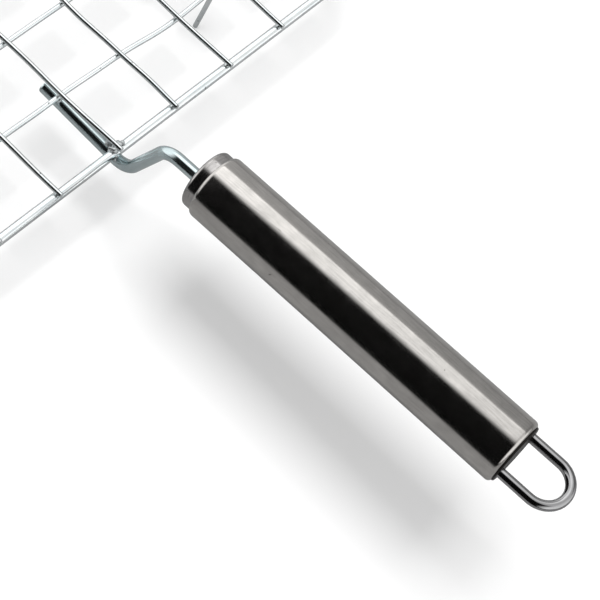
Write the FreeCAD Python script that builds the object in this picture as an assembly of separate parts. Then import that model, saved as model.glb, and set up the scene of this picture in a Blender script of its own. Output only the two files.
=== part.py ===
"""Wire grill basket, lying open like a book: a mesh tray on wire legs with a steel tube handle,
and a shallow mesh lid that swings over it. Lengths are in millimetres, +Z is up, the handle
points to -Y, and the origin is on the table under the middle of the open basket."""

import FreeCAD, Part
import math
import os

Vector = FreeCAD.Vector

# Wires
MESH_WIRE = 1.7
BORDER_WIRE = 3.2
ROD_WIRE = 4.2
LOOP_WIRE = 3.2

# Leaves: x across the handle, y away from it, counted from the centre of the front border wire
CELL = 25.0
LEAF_WIDTH = 250.0
TRAY_LENGTH = 200.0
CORNER_RADIUS = 18.0
MESH_HEIGHT = 30.0          # centre of the tray's long wires above the table
CELLS_ACROSS = 10
CELLS_ALONG = 8

# Hinge: the lid's rear rim wire turns behind and above the tray's rear border wire
HINGE_BEHIND = 5.0
HINGE_GAP = 0.3             # lid rim above the tray's long wires when the basket is shut
PIN_CLEARANCE = 0.05
STRAP = 0.8
CLIP_WIDTH = 8.0
CLIP_X = 62.5

# Legs
LEG_X = 72.0
LEG_TOP_INSET = 25.0
LEG_FOOT_INSET = 28.7
LEG_BEND = 4.0

# Handle, measured outward from the front border wire
ROD_X = 0.0
ROD_DROP = 1.5              # rod below the tube's axis, where it enters the cap off centre
ROD_START_INSET = 32.0
ROD_KNEE = 5.5              # lower bend
ROD_ELBOW = 17.3            # upper bend
ROD_BEND = 8.0
HANDLE_X = 0.4
HANDLE_RISE = 20.1          # handle axis above the long wires, at the front border wire
HANDLE_TILT = 2.75         # degrees, up and away from the tray
CAP_FACE = 31.0
TUBE_START = 35.0
TUBE_END = 151.0
TUBE_DIAMETER = 21.5
TUBE_WALL = 0.7
TUBE_EDGE = 0.6             # rounding of the tube's edge over the cap
LIP_ROLL = 1.6              # outer radius of the far end's lip, rolled in over the plug
CAP_DEPTH = 10.0
CAP_EDGE = 1.2
WASHER_AT = 56.0
WASHER_THICK = 2.0
ROD_END = 60.0
PLUG_LENGTH = 12.0
LOOP_REACH = 20.1           # loop tip beyond the tube's end
LOOP_RADIUS = 7.5

# Latch
LATCH_X = -12.5
LATCH_WIDTH = 10.0
LATCH_GAP = 0.3             # hook to tray border wire when the basket is shut
LATCH_WRAP = 100.0          # degrees of the hook round the border wire
LATCH_LIP = 4.0
LATCH_LIP_DROP = 35.0       # degrees the lip points below level
LATCH_HANG = 5.8            # degrees the hanging hook swings to balance
LATCH_PROUD = 4.8           # the hanging lip's reach past the centre of the rim wire

# Wall struts of the lid
STRUT_X = (-87.5, -37.5, 37.5, 87.5)
SIDE_STRUT_CELLS = (0.8, 2.6, 5.4, 7.2)   # clear of the rings' bends and of the cross wires

# Levels, from the long wires' centre plane of the tray
CROSS_Z = -MESH_WIRE
BORDER_Z = -(MESH_WIRE + BORDER_WIRE) / 2
RIM_Z = (MESH_WIRE + BORDER_WIRE) / 2 + HINGE_GAP
LID_LENGTH = TRAY_LENGTH + HINGE_BEHIND
LID_CELL = LID_LENGTH / CELLS_ALONG
HALF_WIDTH = LEAF_WIDTH / 2

LID_LONG_Z = MESH_WIRE / 2 - MESH_HEIGHT
LID_CROSS_Z = LID_LONG_Z + MESH_WIRE
LID_BORDER_Z = LID_LONG_Z + (MESH_WIRE + BORDER_WIRE) / 2

# The basket's ends, and the shift that centres it on the origin
FAR_END = TRAY_LENGTH + HINGE_BEHIND + LID_LENGTH + LATCH_PROUD
LOOP_TIP = TUBE_END + LOOP_REACH - LOOP_WIRE / 2
NEAR_END = -LOOP_TIP * math.cos(math.radians(HANDLE_TILT)) - LOOP_WIRE / 2
FRONT_Y = -(FAR_END + NEAR_END) / 2


def at(x, y, z):
    """A point counted from the front border wire and the tray's long wires, in the model's frame."""
    return Vector(x, y + FRONT_Y, z + MESH_HEIGHT)


def along_handle(distance, side=0.0, drop=0.0):
    """A point on the handle's axis, beside it or below it, this far outward from the front border wire."""
    tilt = math.radians(HANDLE_TILT)
    y = -distance * math.cos(tilt) - drop * math.sin(tilt)
    z = HANDLE_RISE + distance * math.sin(tilt) - drop * math.cos(tilt)
    return at(HANDLE_X + side, y, z)


def along_rod(distance):
    """A point on the axis of the rod's outer run, which is parallel to the handle's axis."""
    return along_handle(distance, ROD_X - HANDLE_X, ROD_DROP)


def handle_direction():
    return along_handle(1.0) - along_handle(0.0)


def bent_path(points, radius):
    """Edges of straight runs joined by arcs of one radius, tangent at every joint."""
    edges = []
    start = points[0]
    for before, corner, after in zip(points, points[1:], points[2:]):
        back = (before - corner).normalize()
        ahead = (after - corner).normalize()
        half = back.getAngle(ahead) / 2
        reach = radius / math.tan(half)
        entry = corner + back * reach
        leave = corner + ahead * reach
        inward = (back + ahead).normalize()
        middle = corner + inward * (radius / math.sin(half) - radius)
        edges.append(Part.LineSegment(start, entry).toShape())
        edges.append(Part.Arc(entry, middle, leave).toShape())
        start = leave
    edges.append(Part.LineSegment(start, points[-1]).toShape())
    return edges


def round_wire(edges, diameter):
    """A round wire swept along the edges of a path."""
    path = Part.Wire(edges)
    first = edges[0]
    start = first.valueAt(first.FirstParameter)
    tangent = first.tangentAt(first.FirstParameter)
    section = Part.Wire(Part.makeCircle(diameter / 2, start, tangent))
    return path.makePipeShell([section], True, False)


def straight_wire(start, end, diameter):
    run = end - start
    return Part.makeCylinder(diameter / 2, run.Length, start, run)


def border_ring(length, y_start, z, diameter):
    """A wire bent into a rectangle with round corners, its ends butt-welded: four runs, four bends."""
    radius = CORNER_RADIUS
    x_run = HALF_WIDTH - radius
    y_near = y_start + radius
    y_far = y_start + length - radius
    runs = [
        (at(-x_run, y_start, z), at(x_run, y_start, z)),
        (at(HALF_WIDTH, y_near, z), at(HALF_WIDTH, y_far, z)),
        (at(x_run, y_start + length, z), at(-x_run, y_start + length, z)),
        (at(-HALF_WIDTH, y_far, z), at(-HALF_WIDTH, y_near, z)),
    ]
    corners = [
        (at(x_run, y_near, z), 270),
        (at(x_run, y_far, z), 0),
        (at(-x_run, y_far, z), 90),
        (at(-x_run, y_near, z), 180),
    ]
    ring = straight_wire(*runs[0], diameter)
    for start, end in runs[1:]:
        ring = ring.fuse(straight_wire(start, end, diameter))
    for centre, turn in corners:
        bend = Part.makeTorus(radius, diameter / 2, Vector(), Vector(0, 0, 1), 0, 360, 90)
        bend.rotate(Vector(), Vector(0, 0, 1), turn)
        bend.translate(centre)
        ring = ring.fuse(bend)
    return ring.removeSplitter()


def mesh(prefix, y_start, length, cell, long_z, cross_z):
    """Long wires over the border wire, cut flush with it, and cross wires butted between its sides."""
    overhang = BORDER_WIRE / 2
    for index in range(1, CELLS_ACROSS):
        x = -HALF_WIDTH + index * CELL
        start = at(x, y_start - overhang, long_z)
        end = at(x, y_start + length + overhang, long_z)
        save(f"{prefix}_long_wire_{index}", straight_wire(start, end, MESH_WIRE))
    for index in range(1, CELLS_ALONG):
        y = y_start + index * cell
        reach = HALF_WIDTH - BORDER_WIRE / 2
        wire = straight_wire(at(-reach, y, cross_z), at(reach, y, cross_z), MESH_WIRE)
        save(f"{prefix}_cross_wire_{index}", wire)


def save(name, shape):
    shape.exportStep(f"parts/{name}.step")


def leg_wire(x):
    """One wire welded under the cross wires, its two ends bent down as legs and cut level."""
    bar_z = CROSS_Z - MESH_WIRE
    lean = (LEG_FOOT_INSET - LEG_TOP_INSET) / (MESH_HEIGHT + bar_z)
    below = MESH_WIRE
    foot_inset = LEG_FOOT_INSET + lean * below
    foot_z = -MESH_HEIGHT - below
    points = [
        at(x, foot_inset, foot_z),
        at(x, LEG_TOP_INSET, bar_z),
        at(x, TRAY_LENGTH - LEG_TOP_INSET, bar_z),
        at(x, TRAY_LENGTH - foot_inset, foot_z),
    ]
    wire = round_wire(bent_path(points, LEG_BEND), MESH_WIRE)
    table = Part.makeBox(10 * MESH_WIRE, 2 * TRAY_LENGTH, 10 * MESH_WIRE)
    table.translate(at(x - 5 * MESH_WIRE, -TRAY_LENGTH / 2, -MESH_HEIGHT - 10 * MESH_WIRE))
    return wire.cut(table)


def handle_rod():
    """Rod welded under the first cross wire and the border wire, cranked up to the handle's axis."""
    under_cross = CROSS_Z - (MESH_WIRE + ROD_WIRE) / 2
    under_border = BORDER_Z - (BORDER_WIRE + ROD_WIRE) / 2
    slope = (under_cross - under_border) / CELL
    points = [
        at(ROD_X, ROD_START_INSET, under_border + slope * ROD_START_INSET),
        at(ROD_X, -ROD_KNEE, under_border - slope * ROD_KNEE),
        along_rod(ROD_ELBOW),
        along_rod(ROD_END),
    ]
    return round_wire(bent_path(points, ROD_BEND), ROD_WIRE)


def rod_hole(start, end):
    """The room that the rod takes between two distances along the handle."""
    return Part.makeCylinder(ROD_WIRE / 2, end - start, along_rod(start), handle_direction())


def handle_cylinder(start, end, radius):
    """A cylinder on the handle's axis between two distances."""
    return Part.makeCylinder(radius, end - start, along_handle(start), handle_direction())


def round_end(shape, distance, radius, rounding):
    """The shape with its round outer edge at one distance along the handle rounded over."""
    centre = along_handle(distance)
    edges = []
    for edge in shape.Edges:
        if isinstance(edge.Curve, Part.Circle):
            centred = (edge.Curve.Center - centre).Length < 0.01
            if centred and abs(edge.Curve.Radius - radius) < 0.01:
                edges.append(edge)
    return shape.makeFillet(rounding, edges)


def handle_tube(bore):
    """Stainless tube, one edge rounded and the other rolled in over the plug."""
    outside = TUBE_DIAMETER / 2
    tube = handle_cylinder(TUBE_START, TUBE_END, outside)
    tube = round_end(tube, TUBE_START, outside, TUBE_EDGE)
    tube = round_end(tube, TUBE_END, outside, LIP_ROLL)
    hollow = handle_cylinder(TUBE_START - 1, TUBE_END - TUBE_WALL, bore)
    hollow = round_end(hollow, TUBE_END - TUBE_WALL, bore, LIP_ROLL - TUBE_WALL)
    mouth = handle_cylinder(TUBE_START, TUBE_END + 1, outside - LIP_ROLL)
    return tube.cut(hollow).cut(mouth)


def handle_cap(bore):
    """Pressed cup pushed into the tube, its closed end standing out and welded to the rod."""
    cup = handle_cylinder(CAP_FACE, CAP_FACE + CAP_DEPTH, bore)
    cup = round_end(cup, CAP_FACE, bore, CAP_EDGE)
    cup = cup.cut(handle_cylinder(CAP_FACE + TUBE_WALL, CAP_FACE + CAP_DEPTH + 1, bore - TUBE_WALL))
    return cup.cut(rod_hole(CAP_FACE - 1, CAP_FACE + CAP_DEPTH))


def rod_washer(bore):
    """Disc welded on the rod's end inside the tube, so that the tube can't rock."""
    washer = handle_cylinder(WASHER_AT, WASHER_AT + WASHER_THICK, bore)
    return washer.cut(rod_hole(WASHER_AT - 1, WASHER_AT + WASHER_THICK + 1))


def handle_plug(bore):
    """Plug held behind the tube's rolled lip, with two holes for the loop."""
    outer_face = TUBE_END - TUBE_WALL
    plug = handle_cylinder(outer_face - PLUG_LENGTH, outer_face, bore)
    plug = round_end(plug, outer_face, bore, LIP_ROLL - TUBE_WALL)
    for side in (-LOOP_RADIUS, LOOP_RADIUS):
        start = along_handle(outer_face - PLUG_LENGTH - 1, side)
        hole = Part.makeCylinder(LOOP_WIRE / 2, PLUG_LENGTH + 2, start, handle_direction())
        plug = plug.cut(hole)
    return plug


def hang_loop():
    """U-shaped wire pressed into the plug."""
    inner_end = TUBE_END - TUBE_WALL - PLUG_LENGTH
    bend_start = LOOP_TIP - LOOP_RADIUS
    left = along_handle(bend_start, -LOOP_RADIUS)
    right = along_handle(bend_start, LOOP_RADIUS)
    edges = [
        Part.LineSegment(along_handle(inner_end, -LOOP_RADIUS), left).toShape(),
        Part.Arc(left, along_handle(LOOP_TIP), right).toShape(),
        Part.LineSegment(right, along_handle(inner_end, LOOP_RADIUS)).toShape(),
    ]
    return round_wire(edges, LOOP_WIRE)


def across(x, width, y, z, radius):
    """A cylinder across the basket, centred at x."""
    return Part.makeCylinder(radius, width, at(x - width / 2, y, z), Vector(1, 0, 0))


def hinge_clip(x):
    """Strap folded round both rear wires: crimped on the tray's, turning freely on the lid's."""
    wire = BORDER_WIRE / 2
    tray_pin = (TRAY_LENGTH, BORDER_Z)
    lid_pin = (TRAY_LENGTH + HINGE_BEHIND, RIM_Z)
    run = Vector(0, lid_pin[0] - tray_pin[0], lid_pin[1] - tray_pin[1])
    web = Part.makeBox(CLIP_WIDTH, run.Length, 2 * STRAP, Vector(-CLIP_WIDTH / 2, 0, -STRAP))
    web.rotate(Vector(), Vector(1, 0, 0), math.degrees(math.atan2(run.z, run.y)))
    web.translate(at(x, *tray_pin))
    clip = web.fuse(across(x, CLIP_WIDTH, *tray_pin, wire + STRAP))
    clip = clip.fuse(across(x, CLIP_WIDTH, *lid_pin, wire + PIN_CLEARANCE + STRAP))
    clip = clip.cut(across(x, CLIP_WIDTH + 2, *tray_pin, wire))
    clip = clip.cut(across(x, CLIP_WIDTH + 2, *lid_pin, wire + PIN_CLEARANCE))
    return clip.removeSplitter()


def lid_struts():
    """Short wires welded inside the lid's two rings, which make its wall."""
    inset = (BORDER_WIRE + MESH_WIRE) / 2
    rear = TRAY_LENGTH + HINGE_BEHIND
    places = [(x, rear + inset) for x in STRUT_X]
    places += [(x, rear + LID_LENGTH - inset) for x in STRUT_X]
    for cells in SIDE_STRUT_CELLS:
        places.append((-HALF_WIDTH + inset, rear + cells * LID_CELL))
        places.append((HALF_WIDTH - inset, rear + cells * LID_CELL))
    low = LID_BORDER_Z - MESH_WIRE / 2
    high = RIM_Z + MESH_WIRE / 2
    return Part.makeCompound([straight_wire(at(x, y, low), at(x, y, high), MESH_WIRE) for x, y in places])


def latch_hook():
    """Spring strap: a knuckle that turns on the lid's front rim wire, a web and a hook with a lip.

    It is drawn as it closes on the tray's border wire, straight below its pin, then swung by
    LATCH_HANG about the pin to hang in balance."""
    wire = BORDER_WIRE / 2
    pin = (TRAY_LENGTH + HINGE_BEHIND + LID_LENGTH, RIM_Z)
    drop = RIM_Z - BORDER_Z
    catch = (pin[0], pin[1] - drop)
    inner = wire + LATCH_GAP
    outer = inner + STRAP
    knuckle_outer = wire + PIN_CLEARANCE + STRAP
    hook = across(LATCH_X, LATCH_WIDTH, *catch, outer)
    hook = hook.cut(across(LATCH_X, LATCH_WIDTH + 2, *catch, inner))
    keep = Part.makeBox(LATCH_WIDTH, 4 * outer, 2 * outer, Vector(-LATCH_WIDTH / 2, -2 * outer, -2 * outer))
    keep.translate(at(LATCH_X, *catch))
    open_side = Part.makeBox(LATCH_WIDTH + 2, 3 * outer, 3 * outer, Vector(-LATCH_WIDTH / 2 - 1, 0, 0))
    open_side.rotate(Vector(), Vector(1, 0, 0), LATCH_WRAP - 180)
    open_side.translate(at(LATCH_X, *catch))
    hook = hook.common(keep).cut(open_side)
    web = Part.makeBox(LATCH_WIDTH, STRAP, drop, Vector(-LATCH_WIDTH / 2, -outer, 0))
    web.translate(at(LATCH_X, *catch))
    turn = math.radians(LATCH_WRAP - 90)
    middle = (inner + outer) / 2
    bend = (catch[0] + middle * math.sin(turn), catch[1] - middle * math.cos(turn))
    lip = Part.makeBox(LATCH_WIDTH, LATCH_LIP, STRAP, Vector(-LATCH_WIDTH / 2, 0, -STRAP / 2))
    lip.rotate(Vector(), Vector(1, 0, 0), -LATCH_LIP_DROP)
    lip.translate(at(LATCH_X, *bend))
    lip = lip.fuse(across(LATCH_X, LATCH_WIDTH, *bend, STRAP / 2))
    knuckle = across(LATCH_X, LATCH_WIDTH, *pin, knuckle_outer)
    latch = knuckle.fuse(web).fuse(hook).fuse(lip)
    latch = latch.cut(across(LATCH_X, LATCH_WIDTH + 2, *pin, wire + PIN_CLEARANCE)).removeSplitter()
    latch.rotate(at(LATCH_X, *pin), Vector(1, 0, 0), LATCH_HANG)
    return latch


os.makedirs("parts", exist_ok=True)

# Tray
save("tray_frame", border_ring(TRAY_LENGTH, 0, BORDER_Z, BORDER_WIRE))
mesh("tray", 0, TRAY_LENGTH, CELL, 0, CROSS_Z)
save("left_leg_wire", leg_wire(-LEG_X))
save("right_leg_wire", leg_wire(LEG_X))
save("left_hinge_clip", hinge_clip(-CLIP_X))
save("right_hinge_clip", hinge_clip(CLIP_X))

# Handle
tube_bore = TUBE_DIAMETER / 2 - TUBE_WALL
save("handle_rod", handle_rod())
save("handle_tube", handle_tube(tube_bore))
save("handle_cap", handle_cap(tube_bore))
save("rod_washer", rod_washer(tube_bore))
save("handle_plug", handle_plug(tube_bore))
save("hang_loop", hang_loop())

# Lid, laid open behind the tray with its mesh on the table
lid_start = TRAY_LENGTH + HINGE_BEHIND
save("lid_rim", border_ring(LID_LENGTH, lid_start, RIM_Z, BORDER_WIRE))
save("lid_frame", border_ring(LID_LENGTH, lid_start, LID_BORDER_Z, BORDER_WIRE))
mesh("lid", lid_start, LID_LENGTH, LID_CELL, LID_LONG_Z, LID_CROSS_Z)
save("lid_struts", lid_struts())
save("latch_hook", latch_hook())
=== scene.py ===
"""Wire grill basket, lying open: a welded mesh tray on wire legs with a steel tube handle, and a
mesh lid that swings over it. Lengths are in metres, in the CAD model's own frame."""

import math

import bpy
import numpy as np
from mathutils import Matrix, Vector


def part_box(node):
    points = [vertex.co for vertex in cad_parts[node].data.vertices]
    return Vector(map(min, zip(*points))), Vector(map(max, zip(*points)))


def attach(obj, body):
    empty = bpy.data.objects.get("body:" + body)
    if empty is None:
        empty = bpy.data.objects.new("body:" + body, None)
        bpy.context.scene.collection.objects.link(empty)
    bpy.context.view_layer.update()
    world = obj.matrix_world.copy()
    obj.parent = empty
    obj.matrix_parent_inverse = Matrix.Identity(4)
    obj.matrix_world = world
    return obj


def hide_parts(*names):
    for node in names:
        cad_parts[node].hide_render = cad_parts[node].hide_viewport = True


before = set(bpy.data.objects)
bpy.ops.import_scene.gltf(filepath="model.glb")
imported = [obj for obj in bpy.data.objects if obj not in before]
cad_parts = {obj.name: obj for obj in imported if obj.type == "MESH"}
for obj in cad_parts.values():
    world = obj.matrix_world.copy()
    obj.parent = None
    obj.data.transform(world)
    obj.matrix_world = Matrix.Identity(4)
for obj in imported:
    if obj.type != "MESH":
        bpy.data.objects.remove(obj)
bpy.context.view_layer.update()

# ------------------------------------------------------------------ Camera
# A long lens above the handle and to its left, rolled so that the handle runs down to the right.
CAMERA_AT = Vector((-0.23654, -0.27550, 0.45926))
CAMERA_AIM = Vector((0.00464, -0.19507, 0.0300))
CAMERA_ROLL = math.radians(27.22)
CAMERA_LENS = 99.92          # millimetres
CAMERA_CLIP = 0.01

camera = bpy.data.objects.new("camera", bpy.data.cameras.new("camera"))
camera.data.lens = CAMERA_LENS
camera.data.clip_start = CAMERA_CLIP
facing = (CAMERA_AIM - CAMERA_AT).to_track_quat("-Z", "Y").to_matrix()
rolled = facing @ Matrix.Rotation(CAMERA_ROLL, 3, "Z")
camera.matrix_world = Matrix.Translation(CAMERA_AT) @ rolled.to_4x4()
bpy.context.collection.objects.link(camera)
bpy.context.scene.camera = camera


# ------------------------------------------------------------------ Studio
# A white table, lit by a soft overhead lamp and an even white surround. What the steel mirrors is
# a studio too: a broad white ceiling panel, a dark room to its left, a grey wall to its right, and
# white screens before and behind.
PANEL_LEFT = -3.0            # degrees from straight up, towards +X
PANEL_LEFT_BLUR = 7.0
PANEL_RIGHT = 43.0
PANEL_RIGHT_BLUR = 1.5
PANEL_RIM = 4.0              # degrees of the bright rim inside the right edge
PANEL_GREY = 0.80            # the panel, as a share of its rim
ROOM_DARK = 0.0015
ROOM_MARK = -100.0           # a place well inside the dark room, in degrees
WALL_GREY = 0.27
PANEL_NEAR = 1.00            # the rim's brightness towards -Y and towards +Y
PANEL_FAR = 2.15
PANEL_DEPTH = (-0.1, 0.4)    # how far a ray leans to +Y for each of the two
SCREEN_LIGHT = 1.25
SCREEN_FROM = 0.45           # how far a ray leans to -Y or +Y where the screens begin and are full
SCREEN_FULL = 0.75
# Painted reflection and shade: to glossy rays the table is painted this grey instead of its white, and
# painted near black towards -X past the span below.
TABLE_PAINTED_REFLECTION_GREY = 0.34
SURROUND_LIGHT = 0.52
BACKDROP_LIGHT = 1.05
TABLE_PAINTED_DARK_X = (-0.32, -0.20)     # the mirrored table is dark to the left of this


def node(tree, kind, inputs=None, **settings):
    """A new node of that kind, its settings set, and its inputs given values or linked to sockets."""
    made = tree.nodes.new(kind)
    for name, value in settings.items():
        setattr(made, name, value)
    for key, value in (inputs or {}).items():
        if isinstance(value, bpy.types.NodeSocket):
            tree.links.new(value, made.inputs[key])
        else:
            made.inputs[key].default_value = value
    return made


world = bpy.data.worlds.new("studio")
world.use_nodes = True
bpy.context.scene.world = world
tree = world.node_tree
tree.nodes.clear()
ray = node(tree, "ShaderNodeLightPath")
direction = node(tree, "ShaderNodeTexCoord").outputs["Generated"]
parts = node(tree, "ShaderNodeSeparateXYZ", {0: direction})
lean = node(tree, "ShaderNodeMath", {0: parts.outputs["X"], 1: parts.outputs["Z"]}, operation="ARCTAN2")
whole_turn = {"Value": lean.outputs[0], "From Min": -math.pi, "From Max": math.pi}
share = node(tree, "ShaderNodeMapRange", whole_turn)
panel = node(tree, "ShaderNodeValToRGB", {"Fac": share.outputs[0]})
stops = [
    (ROOM_MARK, ROOM_DARK),
    (PANEL_LEFT - PANEL_LEFT_BLUR, ROOM_DARK),
    (PANEL_LEFT + PANEL_LEFT_BLUR, PANEL_GREY),
    (PANEL_RIGHT - PANEL_RIGHT_BLUR - PANEL_RIM, PANEL_GREY),
    (PANEL_RIGHT - PANEL_RIGHT_BLUR - PANEL_RIM / 2, 1.0),
    (PANEL_RIGHT - PANEL_RIGHT_BLUR, 1.0),
    (PANEL_RIGHT + PANEL_RIGHT_BLUR, WALL_GREY),
]
for index, (degrees, grey) in enumerate(stops):
    place = (degrees + 180.0) / 360.0
    stop = panel.color_ramp.elements[index] if index < 2 else panel.color_ramp.elements.new(place)
    stop.position = place
    stop.color = (grey, grey, grey, 1.0)
depth_range = {
    "Value": parts.outputs["Y"], 1: PANEL_DEPTH[0], 2: PANEL_DEPTH[1], 3: PANEL_NEAR, 4: PANEL_FAR}
depth = node(tree, "ShaderNodeMapRange", depth_range)
ceiling = node(
    tree, "ShaderNodeBackground", {"Color": panel.outputs["Color"], "Strength": depth.outputs[0]})
screen = node(tree, "ShaderNodeBackground", {"Color": (1, 1, 1, 1), "Strength": SCREEN_LIGHT})
aside = node(tree, "ShaderNodeMath", {0: parts.outputs["Y"]}, operation="ABSOLUTE")
screened = node(tree, "ShaderNodeMapRange", {"Value": aside.outputs[0], 1: SCREEN_FROM, 2: SCREEN_FULL})
mirrored = node(
    tree, "ShaderNodeMixShader", {0: screened.outputs[0], 1: ceiling.outputs[0], 2: screen.outputs[0]})
surround_range = {
    "Value": ray.outputs["Is Camera Ray"], "To Min": SURROUND_LIGHT, "To Max": BACKDROP_LIGHT}
surround_light = node(tree, "ShaderNodeMapRange", surround_range)
surround = node(
    tree, "ShaderNodeBackground", {"Color": (1, 1, 1, 1), "Strength": surround_light.outputs[0]})
either = node(
    tree, "ShaderNodeMixShader",
    {0: ray.outputs["Is Glossy Ray"], 1: surround.outputs[0], 2: mirrored.outputs[0]})
node(tree, "ShaderNodeOutputWorld", {"Surface": either.outputs[0]})

LAMP_AT = Vector((0.09, -0.14, 1.30))
LAMP_POWER = 12.8
LAMP_SIZE = (0.72, 0.60)
lamp = bpy.data.objects.new("overhead_lamp", bpy.data.lights.new("overhead_lamp", "AREA"))
lamp.data.shape = "RECTANGLE"
lamp.data.size, lamp.data.size_y = LAMP_SIZE
lamp.data.energy = LAMP_POWER
lamp.location = LAMP_AT
lamp.visible_glossy = False
lamp.visible_camera = False
bpy.context.collection.objects.link(lamp)

TABLE_HALF = 4.0
TABLE_WHITE = 0.92
table_mesh = bpy.data.meshes.new("table")
corners = [(x * TABLE_HALF, y * TABLE_HALF, 0.0) for x, y in ((-1, -1), (1, -1), (1, 1), (-1, 1))]
table_mesh.from_pydata(corners, [], [(0, 1, 2, 3)])
table = bpy.data.objects.new("table", table_mesh)
bpy.context.collection.objects.link(table)
table_white_and_painted_reflection = bpy.data.materials.new("table_white_and_painted_reflection")
table_white_and_painted_reflection.use_nodes = True
tree = table_white_and_painted_reflection.node_tree
tree.nodes.clear()
ray = node(tree, "ShaderNodeLightPath")
white = node(tree, "ShaderNodeBsdfDiffuse", {"Color": (TABLE_WHITE, TABLE_WHITE, TABLE_WHITE, 1.0)})
place = node(tree, "ShaderNodeTexCoord").outputs["Object"]
left_right = node(tree, "ShaderNodeSeparateXYZ", {0: place}).outputs["X"]
# Painted reflection and shade: glossy rays see the table painted grey, fading to near black towards -X,
# while camera and diffuse rays see it white.
painted_reflection_tone = node(
    tree, "ShaderNodeMapRange",
    {"Value": left_right, 1: TABLE_PAINTED_DARK_X[0], 2: TABLE_PAINTED_DARK_X[1], 3: ROOM_DARK, 4: TABLE_PAINTED_REFLECTION_GREY})
grey = node(tree, "ShaderNodeBsdfDiffuse", {"Color": painted_reflection_tone.outputs[0]})
either = node(
    tree, "ShaderNodeMixShader",
    {0: ray.outputs["Is Glossy Ray"], 1: white.outputs[0], 2: grey.outputs[0]})
node(tree, "ShaderNodeOutputMaterial", {"Surface": either.outputs[0]})
table_mesh.materials.append(table_white_and_painted_reflection)
bpy.context.scene.view_settings.view_transform = "Standard"


# ------------------------------------------------------------------ Border wire of the tray
# Steel wire bent into a rectangle with round corners, its ends butt-welded on the far side, then
# zinc plated bright. The plating has a faint blue cast, drawing lines and a few dark specks.
CORNER_RADIUS = 0.018
WIRE_STEP = 0.0016           # spacing of the rings along a wire
WELD_SWELL = 0.10            # of the radius, at the butt weld
WELD_SPREAD = 0.0012
RING_AROUND = 24             # points round the border wire
ARC_POINTS = 24              # points along a bend, before they are spaced evenly
rng = np.random.default_rng(7)


def unit(vectors):
    """The vectors, each divided by its own length."""
    return vectors / np.linalg.norm(vectors, axis=-1, keepdims=True)


def evenly(line, step):
    """Points evenly spaced along a line of uneven points, by its length."""
    length = np.concatenate([[0.0], np.cumsum(np.linalg.norm(np.diff(line, axis=0), axis=1))])
    even = np.linspace(0.0, length[-1], int(length[-1] / step) + 2)
    return np.stack([np.interp(even, length, values) for values in line.T], axis=1)


def bent(corners, radius, step=WIRE_STEP):
    """Points evenly spaced along straight runs that are joined by arcs of one radius.

    An arc's points go round a centre on the corner's bisector, from one tangent point to the other."""
    corners = np.asarray(corners, float)
    line = [corners[:1]]
    for before, corner, after in zip(corners, corners[1:], corners[2:]):
        back = unit(before - corner)
        ahead = unit(after - corner)
        half = np.arccos(back @ ahead) / 2
        centre = corner + unit(back + ahead) * radius / np.sin(half)
        start = corner + back * radius / np.tan(half) - centre
        angle = np.linspace(0.0, np.pi - 2 * half, ARC_POINTS)[:, None]
        line.append(centre + start * np.cos(angle) - back * radius * np.sin(angle))
    line.append(corners[-1:])
    return evenly(np.concatenate(line), step)


def round_section(radius, around):
    """The points of a circle, as offsets to the side and upwards."""
    angle = np.linspace(0.0, 2 * np.pi, around, endpoint=False)
    return radius * np.stack([np.cos(angle), np.sin(angle)], axis=1)


def carried(path, section, up=(0, 0, 1), scale=None, closed=False):
    """A section carried along a path, one ring of points to each point of the path.

    The section's plane is square to the path: its first direction is `up` crossed with the
    path's direction, and its second is square to both. Each ring may have its own scale. The
    second result is the same rings with the path pulled straight along Z."""
    ahead = np.roll(path, -1, axis=0) - np.roll(path, 1, axis=0)
    if not closed:
        ahead[0] = path[1] - path[0]
        ahead[-1] = path[-1] - path[-2]
    ahead = unit(ahead)
    side = unit(np.cross(np.asarray(up, float), ahead))
    rise = np.cross(ahead, side)
    size = np.ones(len(path)) if scale is None else np.asarray(scale)
    offsets = section[None] * size.reshape(len(path), -1, 1)
    rings = path[:, None] + offsets[..., :1] * side[:, None] + offsets[..., 1:] * rise[:, None]
    steps = np.linalg.norm(np.diff(path, axis=0), axis=1)
    along = np.concatenate([[0.0], np.cumsum(steps)])
    run = np.concatenate([offsets, np.broadcast_to(along[:, None, None], offsets.shape[:2] + (1,))], axis=2)
    return rings, run


def skin(rings, closed=False):
    """Faces over rings of points: four-sided between neighbours, and a fan to a pole at each open end.

    Ring k's point j has the number k * around + j. The two poles come last."""
    count, around = rings.shape[:2]
    number = np.arange(count * around).reshape(count, around)
    after = np.roll(number, -1, axis=0) if closed else number[1:]
    here = number if closed else number[:-1]
    quads = np.stack([here, np.roll(here, -1, 1), np.roll(after, -1, 1), after], axis=-1).reshape(-1, 4)
    faces = quads.tolist()
    points = rings.reshape(-1, 3)
    if not closed:
        points = np.concatenate([points, rings[:1].mean(axis=1), rings[-1:].mean(axis=1)])
        first, last = number[0], number[-1]
        start_pole = np.full(around, count * around)
        faces += np.stack([start_pole, np.roll(first, -1), first], axis=1).tolist()
        faces += np.stack([start_pole + 1, last, np.roll(last, -1)], axis=1).tolist()
    return points, faces


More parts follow.
